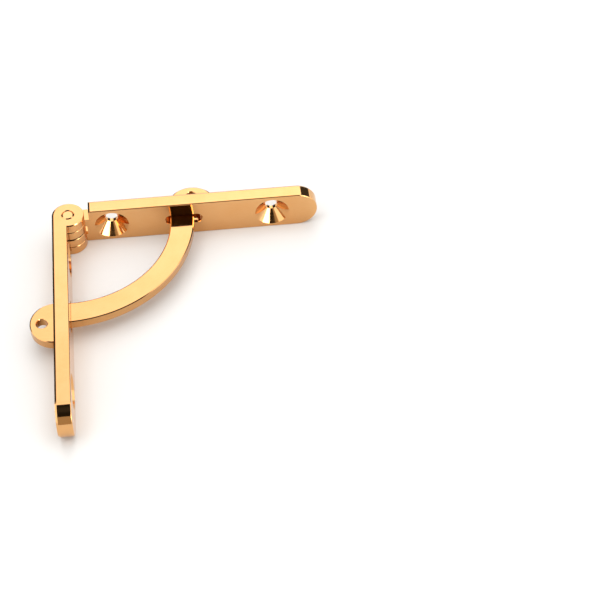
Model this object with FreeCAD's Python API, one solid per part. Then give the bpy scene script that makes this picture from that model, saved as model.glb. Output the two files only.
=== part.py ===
import FreeCAD, Part
import math
import os

# A quadrant hinge for the lid of a small box, standing open at its 90 degree stop.
# The pivot axis is Z, and z = 0 is the lower edge of both leaves.
# The base leaf runs along +X and the lid leaf along -Y. The curved stay runs between them,
# through a slot in each leaf, and a half-round foot on each end of it bears on the leaf's outer face.

# Leaves
LEAF_WIDTH = 10.0           # along the pivot axis
LEAF_THICKNESS = 3.55
LEAF_REACH = 59.9           # pivot axis to the rounded tip
LEAF_END = 4.8              # pivot axis to where the leaf is cut back beside the outermost knuckle
LEAF_ROOT = 4.15            # the same beside the other leaf's inner knuckle
KNUCKLE_RADIUS = 3.8        # also the distance from the pivot axis to a leaf's outer face
BEVEL_WIDTH = 0.42          # low bevel round the outer face and across the leaf's end, on the narrow sides
BEVEL_DEPTH = 0.2           # and on the outer face and the end
BARREL_BEVEL_WIDTH = 0.1    # where the bevel is narrowest, on the side of the barrel away from the outer face
INNER_ROUND = 0.25          # round the inner face

# Knuckles: each leaf has two of the four, and they share the width equally
TIGHT_GAP = 0.08            # where the lid leaf's knuckles bear on the base leaf's
END_PLAY = 0.34             # where the base leaf's upper knuckle stands over the lid leaf's lower one
KNUCKLE_CHAMFER = 0.08

# Pivot pin
PIN_RADIUS = 1.5
PIN_RUNNING_CLEARANCE = 0.05
PIN_BEVEL_WIDTH = 0.36
PIN_BEVEL_DEPTH = 0.18
BORE_MOUTH_CHAMFER = 0.08

# Countersunk screw holes, opening on the inner face
SCREW_REACHES = (10.1, 48.9)
SCREW_HOLE_RADIUS = 1.5
COUNTERSINK_RADIUS = 4.1

# Slot for the stay
SLOT_START = 23.0
SLOT_END = 31.9
SLOT_HEIGHT = 2.8
SLOT_CHAMFER = 0.12

# Stay
STAY_INNER_RADIUS = 24.2
STAY_OUTER_RADIUS = 30.05   # at the leaves
STAY_WAIST_RADIUS = 29.45   # outer edge half way between the leaves, where the stay is narrowest
STAY_THICKNESS = 2.3
STAY_BEVEL_WIDTH = 0.24     # low bevel round both flat faces: along the face
STAY_BEVEL_DEPTH = 0.11     # and down the side
FOOT_RADIUS = 5.75
FOOT_SEAT_GAP = 0.05        # between a foot and the outer face it bears on
FOOT_HOLE_RADIUS = 1.3
FOOT_HOLE_HEIGHT = 2.95     # from the foot's flat
FOOT_HOLE_CHAMFER = 0.15
FOOT_TOE_ROUND = 0.65

# Derived places
MID_WIDTH = LEAF_WIDTH / 2
KNUCKLE_PITCH = LEAF_WIDTH / 4
INNER_FACE = KNUCKLE_RADIUS - LEAF_THICKNESS
TIP_CENTRE = LEAF_REACH - LEAF_WIDTH / 2
OVERSHOOT = 1.0             # how far a cutting shape runs past the surface it opens
SEAM_TURN = 45              # degrees; keeps the barrel's seam inside the leaf
AXIS_X = FreeCAD.Vector(1, 0, 0)
AXIS_Y = FreeCAD.Vector(0, 1, 0)
AXIS_Z = FreeCAD.Vector(0, 0, 1)
PIVOT_LINE = Part.makeLine(FreeCAD.Vector(0, 0, 0), FreeCAD.Vector(0, 0, LEAF_WIDTH))


def point(x, y, z):
    return FreeCAD.Vector(x, y, z)


def box_between(low, high):
    size = high - low
    return Part.makeBox(size.x, size.y, size.z, low)


def rounded_bar(start, end, width, depth_start, depth_end, round_start):
    """A bar along X, centred on mid-width, with a full round at its end and maybe at its start."""
    radius = width / 2
    depth = depth_end - depth_start
    low = point(start + (radius if round_start else 0), depth_start, MID_WIDTH - radius)
    high = point(end - radius, depth_end, MID_WIDTH + radius)
    bar = box_between(low, high)
    bar = bar.fuse(Part.makeCylinder(radius, depth, point(high.x, depth_start, MID_WIDTH), AXIS_Y))
    if round_start:
        bar = bar.fuse(Part.makeCylinder(radius, depth, point(low.x, depth_start, MID_WIDTH), AXIS_Y))
    return bar.removeSplitter()


def on_inner_face(edge):
    """True for the edges round a bar's inner face, except at its square start."""
    box = edge.BoundBox
    return box.YLength < 1e-4 and abs(box.YMin - INNER_FACE) < 1e-4 and box.XLength > 1e-4


def bevelled_barrel():
    """A barrel the full width of the leaf, with a bevel at each end that narrows away from the outer face."""
    barrel = Part.makeCylinder(KNUCKLE_RADIUS, LEAF_WIDTH - 2 * BEVEL_DEPTH, point(0, 0, BEVEL_DEPTH))
    barrel.rotate(point(0, 0, 0), AXIS_Z, SEAM_TURN)
    end_radius = KNUCKLE_RADIUS - (BEVEL_WIDTH + BARREL_BEVEL_WIDTH) / 2
    end_centre = point(0, (BARREL_BEVEL_WIDTH - BEVEL_WIDTH) / 2, LEAF_WIDTH)
    rims = []
    for radius, centre in ((KNUCKLE_RADIUS, point(0, 0, LEAF_WIDTH - BEVEL_DEPTH)), (end_radius, end_centre)):
        rim = Part.Wire(Part.makeCircle(radius, centre))
        rim.rotate(centre, AXIS_Z, SEAM_TURN)
        rims.append(rim)
    upper_end = Part.makeLoft(rims, True, True)
    lower_end = upper_end.mirror(point(0, 0, MID_WIDTH), AXIS_Z)
    return barrel.fuse([upper_end, lower_end]).removeSplitter()


def bevelled_bar():
    """The leaf's bar, rounded round its inner face and bevelled round its outer one."""
    bevel_start = KNUCKLE_RADIUS - BEVEL_WIDTH
    bar = rounded_bar(0, LEAF_REACH, LEAF_WIDTH, INNER_FACE, bevel_start, round_start=False)
    bar = bar.makeFillet(INNER_ROUND, [edge for edge in bar.Edges if on_inner_face(edge)])
    section = Part.makePolygon([point(0, bevel_start, 0), point(0, bevel_start, LEAF_WIDTH),
                                point(0, KNUCKLE_RADIUS, LEAF_WIDTH - BEVEL_DEPTH),
                                point(0, KNUCKLE_RADIUS, BEVEL_DEPTH), point(0, bevel_start, 0)])
    straight = Part.Face(section).extrude(point(TIP_CENTRE, 0, 0))
    tip = Part.makeCone(LEAF_WIDTH / 2, LEAF_WIDTH / 2 - BEVEL_DEPTH, BEVEL_WIDTH,
                        point(TIP_CENTRE, bevel_start, MID_WIDTH), AXIS_Y)
    return bar.fuse([straight, tip]).removeSplitter()


def leaf_blank():
    """The leaf before machining, with its barrel flush with its outer face."""
    return bevelled_barrel().fuse(bevelled_bar()).removeSplitter()


def knuckle_recess(root, bottom, top):
    """The space as far as the leaf's root, where one of the other leaf's knuckles turns."""
    reach = KNUCKLE_RADIUS + OVERSHOOT
    return box_between(point(-reach, -reach, bottom), point(root, reach, top))


def end_bevel():
    """The wedge that bevels the upper edge of the leaf's end, beside its outermost knuckle."""
    low = point(LEAF_END - BEVEL_WIDTH, -OVERSHOOT, LEAF_WIDTH - 2 * BEVEL_DEPTH)
    high = point(LEAF_END + 2 * BEVEL_WIDTH, -OVERSHOOT, LEAF_WIDTH + BEVEL_DEPTH)
    section = Part.makePolygon([low, high, point(low.x, low.y, high.z), low])
    return Part.Face(section).extrude(point(0, KNUCKLE_RADIUS + 2 * OVERSHOOT, 0))


def on_knuckle_edge(edge):
    """True for the outer edges of the knuckles that face another knuckle."""
    box = edge.BoundBox
    inside_width = BEVEL_DEPTH < box.ZMin and box.ZMax < LEAF_WIDTH - BEVEL_DEPTH
    on_barrel = box.ZLength < 1e-4 and inside_width and box.XMin < 1.0
    return on_barrel and edge.distToShape(PIVOT_LINE)[0] > KNUCKLE_RADIUS - 1e-3


def screw_hole(reach):
    hole = Part.makeCylinder(SCREW_HOLE_RADIUS, LEAF_THICKNESS + 2 * OVERSHOOT,
                             point(reach, INNER_FACE - OVERSHOOT, MID_WIDTH), AXIS_Y)
    sink_depth = COUNTERSINK_RADIUS - SCREW_HOLE_RADIUS
    sink = Part.makeCone(COUNTERSINK_RADIUS + OVERSHOOT, SCREW_HOLE_RADIUS, sink_depth + OVERSHOOT,
                         point(reach, INNER_FACE - OVERSHOOT, MID_WIDTH), AXIS_Y)
    return hole.fuse(sink)


def stay_slot():
    return rounded_bar(SLOT_START, SLOT_END, SLOT_HEIGHT,
                       INNER_FACE - OVERSHOOT, KNUCKLE_RADIUS + OVERSHOOT, round_start=True)


def on_slot_mouth(edge):
    """True for the edges where the slot opens on either face of a leaf."""
    box = edge.BoundBox
    return box.YLength < 1e-4 and box.XMin > SLOT_START - 0.01 and box.XMax < SLOT_END + 0.01


def leaf(bore_radius):
    """A leaf along +X with its own knuckles in the first and third quarters of the width."""
    lower_top = KNUCKLE_PITCH - TIGHT_GAP / 2
    upper_bottom = 2 * KNUCKLE_PITCH + END_PLAY / 2
    upper_top = 3 * KNUCKLE_PITCH - TIGHT_GAP / 2
    shape = leaf_blank()
    shape = shape.cut(knuckle_recess(LEAF_ROOT, lower_top, upper_bottom))
    shape = shape.cut(knuckle_recess(LEAF_END, upper_top, LEAF_WIDTH + OVERSHOOT))
    shape = shape.cut(end_bevel())
    shape = shape.makeChamfer(KNUCKLE_CHAMFER, [edge for edge in shape.Edges if on_knuckle_edge(edge)])
    shape = shape.cut(Part.makeCylinder(bore_radius, LEAF_WIDTH + 2 * OVERSHOOT, point(0, 0, -OVERSHOOT)))
    mouth_top = bore_radius + BORE_MOUTH_CHAMFER + OVERSHOOT
    mouth = Part.makeCone(mouth_top, bore_radius, BORE_MOUTH_CHAMFER + OVERSHOOT, point(0, 0, -OVERSHOOT))
    shape = shape.cut(mouth)
    for reach in SCREW_REACHES:
        shape = shape.cut(screw_hole(reach))
    shape = shape.cut(stay_slot())
    return shape.makeChamfer(SLOT_CHAMFER, [edge for edge in shape.Edges if on_slot_mouth(edge)])


def base_leaf():
    return leaf(PIN_RADIUS + PIN_RUNNING_CLEARANCE)


def lid_leaf():
    """The same leaf turned over, so that its knuckles fill the other two quarters, and swung open."""
    shape = leaf(PIN_RADIUS)
    shape.rotate(point(0, 0, MID_WIDTH), AXIS_X, 180)
    shape.rotate(point(0, 0, 0), AXIS_Z, -90)
    return shape


def pivot_pin():
    pin = Part.makeCylinder(PIN_RADIUS, LEAF_WIDTH - 2 * PIN_BEVEL_DEPTH, point(0, 0, PIN_BEVEL_DEPTH))
    end_radius = PIN_RADIUS - PIN_BEVEL_WIDTH
    bevel_start = point(0, 0, LEAF_WIDTH - PIN_BEVEL_DEPTH)
    upper_end = Part.makeCone(PIN_RADIUS, end_radius, PIN_BEVEL_DEPTH, bevel_start)
    lower_end = Part.makeCone(end_radius, PIN_RADIUS, PIN_BEVEL_DEPTH)
    return pin.fuse([upper_end, lower_end]).removeSplitter()


def polar(radius, angle, centre=FreeCAD.Vector()):
    return centre + point(radius * math.cos(angle), radius * math.sin(angle), 0)


def across_bisector(place):
    """The matching place at the lid leaf's end of the stay."""
    return point(-place.y, -place.x, place.z)


def foot_middle():
    """The middle of a foot's flat, where the foot's round blends smoothly into the stay's inner edge."""
    seat = KNUCKLE_RADIUS + FOOT_SEAT_GAP
    return point(math.sqrt((STAY_INNER_RADIUS + FOOT_RADIUS) ** 2 - seat ** 2), seat, 0)


def stay_outline():
    """Two half-round feet joined by an inner arc about the pivot and a slightly flatter outer one."""
    middle = foot_middle()
    heel_angle = math.atan2(middle.y, middle.x)
    toe_run = math.sqrt((FOOT_RADIUS - FOOT_TOE_ROUND) ** 2 - FOOT_TOE_ROUND ** 2)
    toe_angle = math.atan2(FOOT_TOE_ROUND, toe_run)
    toe_middle = middle + point(toe_run, FOOT_TOE_ROUND, 0)

    shoulder = point(math.sqrt(STAY_OUTER_RADIUS ** 2 - middle.y ** 2), middle.y, 0)
    toe_start = middle + point(toe_run, 0, 0)
    toe = polar(FOOT_TOE_ROUND, (toe_angle - math.pi / 2) / 2, toe_middle)
    toe_end = polar(FOOT_RADIUS, toe_angle, middle)
    crown = polar(FOOT_RADIUS, (toe_angle + math.pi + heel_angle) / 2, middle)
    heel = polar(STAY_INNER_RADIUS, heel_angle)

    foot = [Part.LineSegment(shoulder, toe_start).toShape(),
            Part.Arc(toe_start, toe, toe_end).toShape(),
            Part.Arc(toe_end, crown, heel).toShape()]
    far_foot = [edge.mirror(point(0, 0, 0), point(1, 1, 0)) for edge in foot]
    arcs = [Part.Arc(place, polar(radius, -math.pi / 4), across_bisector(place)).toShape()
            for place, radius in ((shoulder, STAY_WAIST_RADIUS), (heel, STAY_INNER_RADIUS))]
    return Part.Wire(Part.__sortEdges__(foot + far_foot + arcs))


def is_hole_rim(edge):
    """True for the edges of the holes in the feet."""
    return isinstance(edge.Curve, Part.Circle) and abs(edge.Curve.Radius - FOOT_HOLE_RADIUS) < 1e-6


def quadrant_stay():
    """The stay. Its bevel is given down the side first, and then along the flat face."""
    stay = Part.Face(stay_outline()).extrude(point(0, 0, STAY_THICKNESS))
    rims = [edge for edge in stay.Edges if edge.BoundBox.ZLength < 1e-4]
    stay = stay.makeChamfer(STAY_BEVEL_DEPTH, STAY_BEVEL_WIDTH, rims)
    hole = foot_middle() + point(0, FOOT_HOLE_HEIGHT, 0)
    for centre in (hole, across_bisector(hole)):
        stay = stay.cut(Part.makeCylinder(FOOT_HOLE_RADIUS, STAY_THICKNESS, centre))
    stay = stay.makeChamfer(FOOT_HOLE_CHAMFER, [edge for edge in stay.Edges if is_hole_rim(edge)])
    stay.translate(point(0, 0, MID_WIDTH - STAY_THICKNESS / 2))
    return stay


def write_parts(shapes):
    os.makedirs("parts", exist_ok=True)
    for name, shape in shapes.items():
        solid = shape.Solids[0]
        print(name, "solids", len(shape.Solids), "valid", shape.isValid(), "mm3", round(shape.Volume, 1))
        solid.exportStep("parts/" + name + ".step")


write_parts({
    "base_leaf": base_leaf(),
    "lid_leaf": lid_leaf(),
    "pivot_pin": pivot_pin(),
    "quadrant_stay": quadrant_stay(),
})
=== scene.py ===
import math

import bpy
from mathutils import Matrix, Vector


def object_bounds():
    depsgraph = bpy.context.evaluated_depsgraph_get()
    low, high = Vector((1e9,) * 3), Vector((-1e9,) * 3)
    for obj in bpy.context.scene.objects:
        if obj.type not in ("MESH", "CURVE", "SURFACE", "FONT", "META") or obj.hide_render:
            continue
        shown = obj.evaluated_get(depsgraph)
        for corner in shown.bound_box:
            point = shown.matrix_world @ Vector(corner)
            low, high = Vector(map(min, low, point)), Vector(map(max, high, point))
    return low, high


MM = 0.001
WHITE = (1.0, 1.0, 1.0)

# Camera. It stands in front of the open hinge, looks down at the table and is turned a little to the right.
# It aims at a point on the table to the right of the stay, so that the hinge lies left in the picture.
CAMERA_AIM = Vector((53.0, -24.1, 0)) * MM
CAMERA_DISTANCE = 373.2 * MM
CAMERA_ELEVATION = math.radians(50.05)
CAMERA_YAW = math.radians(6.35)
CAMERA_LENS = 95.0
CAMERA_SENSOR = 36.0
CAMERA_CLIP_START = 10 * MM

# Floor
FLOOR_HALF = 1.5
FLOOR_COLOUR = (0.68, 0.678, 0.67)
FLOOR_FIBRE_TONE = (0.985, 0.985, 0.985)
FLOOR_FIBRE_SCALE = 900.0
FLOOR_ROUGHNESS = 0.9
FLOOR_SPECULAR = 0.15

# Softboxes: square, with place and side in metres. The key is seen only in reflections, and the two fills
# light only what is matt, which is the floor.
KEY = {"place": (0.57, -0.66, 0.40), "side": 0.5, "radiance": 5.5, "on_surfaces": False}
TOP_FILL = {"place": (0, -0.15, 1.2), "side": 1.2, "radiance": 2.3, "in_reflections": False}
BACK_FILL = {"place": (0, 0.75, 0.85), "side": 0.8, "radiance": 0.8, "in_reflections": False}

# Room. It is painted by direction: side, back and up are a direction's parts along X, Y and Z. A slope is
# side or back over up, and the spread is side over back. A step is (where it starts, where it is full).
# A band is (low, high, softness): full between low and high, gone at softness beyond them. A level is a
# radiance.
LEAST_DIVISOR = 0.01
TENT_LEVEL = 1.7

WALL_LEVEL = 0.51               # a warm wall in front, behind the camera
WALL_TINT = (1.0, 0.84, 0.62)
WALL_BACK_STEP = (-0.5, -0.65)
WALL_SIDE_BAND = (-0.4, 0.4, 0.15)

FLAG_EDGE_LEVEL = 0.30          # dark flags on both sides of the panel at the back
FLAG_HEART_LEVEL = 0.06
FLAG_BACK_STEP = (0.0, 0.3)
FLAG_UP_STEP = (0.02, 0.10)
FLAG_SPREAD_BAND = (-1.4, 1.4, 0.6)
FLAG_HEART_BAND = (-1.1, 1.1, 0.4)

CARD_END_LEVEL = 0.02           # a dark card over the hinge
CARD_MIDDLE_LEVEL = 0.04
CARD_FAR_END = 0.22
CARD_SIDE_BAND = (-0.30, 0.44, 0.12)
CARD_BACK_BAND = (-1.13, CARD_FAR_END, 0.03)
CARD_MIDDLE_BAND = (-0.35, -0.15, 0.25)

PANEL_NEAR_LEVEL = 1.66         # a bright panel at the back, from the card's far end on
PANEL_FAR_LEVEL = 2.08
PANEL_SIDE_BAND = (-0.45, 0.60, 0.03)
PANEL_BACK_STEP = (CARD_FAR_END, 0.26)
PANEL_FAR_STEP = (0.68, 0.92)
PANEL_TURN = (-0.12, 0.12)      # side slopes between which it brightens from left to right
PANEL_TURN_FACTORS = (0.90, 1.08)

# Gold plate: base colour, range of roughness and height of the relief, for each kind of piece
LEAF_FINISH = {"colour": (0.745, 0.408, 0.169), "roughness": (0.05, 0.09), "relief": 2e-6}
PIN_FINISH = {"colour": (0.77, 0.435, 0.188), "roughness": (0.08, 0.12), "relief": 2e-6}
# the stay's edge value sets both the extra roughness of its upright sides and painted shade that darkens
# their colour
STAY_FINISH = {"colour": (0.735, 0.40, 0.164), "roughness": (0.06, 0.10), "relief": 3e-6,
               "edge_shade_and_dulling": 0.4}

# Noise in the plate, in cycles per metre. The stay's marks are counted over radius, angle and height.
LEAF_MARKS = (700.0, 700.0, 4200.0)
PIN_MARKS = (2500.0, 2500.0, 2500.0)
STAY_MARKS = (3500.0, 18.0, 1500.0)
CLOUD_SCALE = 160.0
SPECK_SCALE = 2600.0

# What the noise does. A range is the stretch of noise values over which the effect grows.
WARM_TONE = (0.98, 0.94, 0.88)  # factors on the base colour, in the clouds
WARM_RANGE = (0.35, 0.65)
PALE_TONE = (1.03, 1.06, 1.12)  # and on the polishing marks
PALE_RANGE = (0.45, 0.75)
PALE_SHARE = 0.35
CLOUD_ROUGH_RANGE = (0.3, 0.7)
MARK_ROUGH_RANGE = (0.4, 0.8)
MARK_ROUGH_SHARE = 0.5
SPECK_SHARE = 0.35
RELIEF_STRENGTH = 0.35

# Upright sides of the stay: rougher as sheared edges, and darkened in colour by painted shade
EDGE_UPRIGHT_STEP = (0.5, 0.2)  # vertical part of the surface's normal
# painted shade: factors that darken the colour of the stay's upright sides
EDGE_SHADE_TONE = (0.55, 0.50, 0.40)
EDGE_ROUGHNESS = 0.45


# ---------------------------------------------------------------- node helpers

class Tree:
    """A short way to add nodes and links to a material's or the world's node tree."""

    def __init__(self, owner):
        owner.use_nodes = True
        self.tree = owner.node_tree
        self.tree.nodes.clear()

    def add(self, kind, inputs=None, **settings):
        node = self.tree.nodes.new(kind)
        for name, value in settings.items():
            setattr(node, name, value)
        for name, value in (inputs or {}).items():
            self.feed(node.inputs[name], value)
        return node

    def feed(self, socket, value):
        if isinstance(value, bpy.types.NodeSocket):
            self.tree.links.new(value, socket)
        else:
            socket.default_value = value

    def math(self, operation, first, second=0.0):
        node = self.add("ShaderNodeMath", {0: first, 1: second}, operation=operation)
        return node.outputs[0]

    def both(self, first, second):
        """A mask that is full only where both masks are."""
        return self.math("MULTIPLY", first, second)

    def split(self, vector):
        return self.add("ShaderNodeSeparateXYZ", {"Vector": vector}).outputs

    def stretch(self, vector, factors):
        node = self.add("ShaderNodeVectorMath", {0: vector, 1: factors}, operation="MULTIPLY")
        return node.outputs[0]

    def noise(self, vector, scale, detail=3.0, roughness=0.5):
        node = self.add("ShaderNodeTexNoise", {"Vector": vector, "Scale": scale, "Detail": detail,
                                               "Roughness": roughness})
        return node.outputs["Fac"]

    def remap(self, value, source, result):
        """value, moved from the range source to the range result and held within it."""
        node = self.add("ShaderNodeMapRange", {"Value": value, "From Min": source[0], "From Max": source[1],
                                               "To Min": result[0], "To Max": result[1]})
        return node.outputs["Result"]

    def step(self, value, start, end):
        """0 before start and 1 past end, with a smooth change; end may be below start."""
        node = self.add("ShaderNodeMapRange", {"Value": value, "From Min": start, "From Max": end},
                        interpolation_type="SMOOTHSTEP")
        return node.outputs["Result"]

    def band(self, value, low, high, softness):
        """1 between low and high, and 0 from softness beyond them."""
        return self.both(self.step(value, low - softness, low), self.step(value, high + softness, high))

    def fade(self, level, mask, target):
        """level where mask is 0 and target where it is 1."""
        node = self.add("ShaderNodeMix", {0: mask, 2: level, 3: target}, data_type="FLOAT")
        return node.outputs[0]

    def fade_colour(self, colour, mask, target):
        node = self.add("ShaderNodeMix", {0: mask, 6: colour, 7: target}, data_type="RGBA")
        return node.outputs[2]


def rgba(colour, factors=WHITE):
    return (*(part * factor for part, factor in zip(colour, factors)), 1.0)


# ---------------------------------------------------------------- materials

def gold_plate(name, marks_along, colour, roughness, relief, edge_shade_and_dulling=0.0):
    """Polished gold plate with soft clouds, polishing marks and fine specks.

    marks_along(tree, position) stretches space so that even noise in it makes the marks.
    edge_shade_and_dulling is how much rougher the upright sheared edges of a stamped plate are, and how much
    painted shade darkens their colour."""
    material = bpy.data.materials.new(name)
    tree = Tree(material)
    position = tree.add("ShaderNodeTexCoord").outputs["Object"]
    marks = tree.noise(marks_along(tree, position), 1.0, detail=4.0, roughness=0.6)
    cloud = tree.noise(position, CLOUD_SCALE, detail=4.0, roughness=0.55)
    speck = tree.noise(position, SPECK_SCALE, detail=2.0)

    base = tree.fade_colour(rgba(colour), tree.remap(cloud, WARM_RANGE, (0.0, 1.0)), rgba(colour, WARM_TONE))
    pale = tree.remap(marks, PALE_RANGE, (0.0, PALE_SHARE))
    base = tree.fade_colour(base, pale, rgba(colour, PALE_TONE))

    mark_roughness = tree.remap(marks, MARK_ROUGH_RANGE, (0.0, roughness[1] * MARK_ROUGH_SHARE))
    rough = tree.math("ADD", tree.remap(cloud, CLOUD_ROUGH_RANGE, roughness), mark_roughness)
    if edge_shade_and_dulling:
        edge = tree.math("MULTIPLY", upright_sides(tree), edge_shade_and_dulling)
        # painted shade: darker colour on the stay's upright sides, beside their real extra roughness
        base = tree.fade_colour(base, edge, rgba(colour, EDGE_SHADE_TONE))
        rough = tree.fade(rough, edge, EDGE_ROUGHNESS)

    height = tree.math("ADD", marks, tree.math("MULTIPLY", speck, SPECK_SHARE))
    bump = tree.add("ShaderNodeBump", {"Height": height, "Strength": RELIEF_STRENGTH, "Distance": relief})
    shader = tree.add("ShaderNodeBsdfPrincipled", {"Base Color": base, "Metallic": 1.0, "Roughness": rough,
                                                   "Normal": bump.outputs[0]})
    tree.add("ShaderNodeOutputMaterial", {"Surface": shader.outputs[0]})
    return material


def upright_sides(tree):
    """1 on the upright sides of a flat piece and 0 on its faces."""
    normal = tree.add("ShaderNodeTexCoord").outputs["Normal"]
    return tree.step(tree.math("ABSOLUTE", tree.split(normal)[2]), *EDGE_UPRIGHT_STEP)


def along_leaf(tree, position):
    """Polishing marks along the leaf, whichever of the two leaves it is."""
    return tree.stretch(position, LEAF_MARKS)


def along_arc(tree, position):
    """Marks that follow the stay's arc: fine steps in the distance from the pivot."""
    x, y, z = tree.split(position)
    radius = tree.math("SQRT", tree.math("ADD", tree.math("MULTIPLY", x, x), tree.math("MULTIPLY", y, y)))
    angle = tree.math("ARCTAN2", y, x)
    polar = tree.add("ShaderNodeCombineXYZ", {"X": radius, "Y": angle, "Z": z})
    return tree.stretch(polar.outputs[0], STAY_MARKS)


def all_ways(tree, position):
    """An even fine grain, on the faced ends of the pin."""
    return tree.stretch(position, PIN_MARKS)


def floor_paper():
    material = bpy.data.materials.new("floor_paper")
    tree = Tree(material)
    position = tree.add("ShaderNodeTexCoord").outputs["Object"]
    fibre = tree.noise(position, FLOOR_FIBRE_SCALE)
    colour = tree.fade_colour(rgba(FLOOR_COLOUR), fibre, rgba(FLOOR_COLOUR, FLOOR_FIBRE_TONE))
    shader = tree.add("ShaderNodeBsdfPrincipled", {"Base Color": colour, "Roughness": FLOOR_ROUGHNESS,
                                                   "Specular IOR Level": FLOOR_SPECULAR})
    tree.add("ShaderNodeOutputMaterial", {"Surface": shader.outputs[0]})
    return material


def dress(node, material):
    for slot in node.material_slots:
        slot.material = material


# ---------------------------------------------------------------- studio

def link(thing):
    bpy.context.scene.collection.objects.link(thing)


def add_floor():
    mesh = bpy.data.meshes.new("floor")
    corners = [(x * FLOOR_HALF, y * FLOOR_HALF, 0.0) for x, y in ((-1, -1), (1, -1), (1, 1), (-1, 1))]
    mesh.from_pydata(corners, [], [(0, 1, 2, 3)])
    mesh.materials.append(floor_paper())
    floor = bpy.data.objects.new("floor", mesh)
    link(floor)


def looking(place, target):
    """The matrix of a light or a camera that stands at place and points at target."""
    turn = (target - place).to_track_quat("-Z", "Y")
    return Matrix.Translation(place) @ turn.to_matrix().to_4x4()


def add_softbox(name, target, place, side, radiance, in_reflections=True, on_surfaces=True):
    light = bpy.data.lights.new(name, "AREA")
    light.shape = "SQUARE"
    light.size = side
    light.energy = radiance * math.pi * side ** 2
    lamp = bpy.data.objects.new(name, light)
    lamp.matrix_world = looking(Vector(place), target)
    lamp.visible_camera = False
    lamp.visible_glossy = in_reflections
    lamp.visible_diffuse = on_surfaces
    link(lamp)


def set_world():
    """A white tent: a warm wall in front, a dark card overhead, and dark flags and a bright panel behind."""
    world = bpy.data.worlds.new("studio")
    bpy.context.scene.world = world
    tree = Tree(world)
    side, back, up = tree.split(tree.add("ShaderNodeTexCoord").outputs["Generated"])
    height = tree.math("MAXIMUM", up, LEAST_DIVISOR)
    side_slope = tree.math("DIVIDE", side, height)
    back_slope = tree.math("DIVIDE", back, height)
    spread = tree.math("DIVIDE", side, tree.math("MAXIMUM", back, LEAST_DIVISOR))

    wall = tree.both(tree.step(back, *WALL_BACK_STEP), tree.band(side, *WALL_SIDE_BAND))
    level = tree.fade(TENT_LEVEL, wall, WALL_LEVEL)

    flags = tree.both(tree.step(back_slope, *FLAG_BACK_STEP), tree.step(up, *FLAG_UP_STEP))
    flags = tree.both(flags, tree.band(spread, *FLAG_SPREAD_BAND))
    flag_level = tree.fade(FLAG_EDGE_LEVEL, tree.band(spread, *FLAG_HEART_BAND), FLAG_HEART_LEVEL)
    level = tree.fade(level, flags, flag_level)

    card = tree.both(tree.band(side_slope, *CARD_SIDE_BAND), tree.band(back_slope, *CARD_BACK_BAND))
    card_level = tree.fade(CARD_END_LEVEL, tree.band(back_slope, *CARD_MIDDLE_BAND), CARD_MIDDLE_LEVEL)
    level = tree.fade(level, card, card_level)

    panel = tree.both(tree.band(side_slope, *PANEL_SIDE_BAND), tree.step(back_slope, *PANEL_BACK_STEP))
    panel_level = tree.fade(PANEL_NEAR_LEVEL, tree.step(back_slope, *PANEL_FAR_STEP), PANEL_FAR_LEVEL)
    turn = tree.remap(side_slope, PANEL_TURN, PANEL_TURN_FACTORS)
    level = tree.fade(level, panel, tree.math("MULTIPLY", panel_level, turn))

    tint = tree.fade_colour(rgba(WHITE), wall, rgba(WALL_TINT))
    background = tree.add("ShaderNodeBackground", {"Color": tint, "Strength": level})
    tree.add("ShaderNodeOutputWorld", {"Surface": background.outputs[0]})


def add_camera():
    data = bpy.data.cameras.new("camera")
    data.lens = CAMERA_LENS
    data.sensor_width = CAMERA_SENSOR
    data.clip_start = CAMERA_CLIP_START
    camera = bpy.data.objects.new("camera", data)
    flat = math.cos(CAMERA_ELEVATION)
    back = Vector((-math.sin(CAMERA_YAW) * flat, -math.cos(CAMERA_YAW) * flat, math.sin(CAMERA_ELEVATION)))
    camera.matrix_world = looking(CAMERA_AIM + back * CAMERA_DISTANCE, CAMERA_AIM)
    link(camera)
    bpy.context.scene.camera = camera


# ---------------------------------------------------------------- scene

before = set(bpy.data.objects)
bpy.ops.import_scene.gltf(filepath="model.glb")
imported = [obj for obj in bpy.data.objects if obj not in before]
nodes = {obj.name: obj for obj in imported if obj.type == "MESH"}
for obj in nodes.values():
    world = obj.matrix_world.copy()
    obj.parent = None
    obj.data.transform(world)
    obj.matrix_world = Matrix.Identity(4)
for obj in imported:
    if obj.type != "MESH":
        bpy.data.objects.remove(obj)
cad_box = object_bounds()

leaf_gold = gold_plate("leaf_gold_plate", along_leaf, **LEAF_FINISH)
dress(nodes["base_leaf"], leaf_gold)
dress(nodes["lid_leaf"], leaf_gold)
dress(nodes["pivot_pin"], gold_plate("pin_gold_plate", all_ways, **PIN_FINISH))
dress(nodes["quadrant_stay"], gold_plate("stay_gold_plate", along_arc, **STAY_FINISH))

add_camera()
add_floor()
centre = (Vector(cad_box[0]) + Vector(cad_box[1])) / 2
add_softbox("key", centre, **KEY)
add_softbox("top_fill", centre, **TOP_FILL)
add_softbox("back_fill", centre, **BACK_FILL)
set_world()
bpy.context.scene.view_settings.view_transform = "Standard"
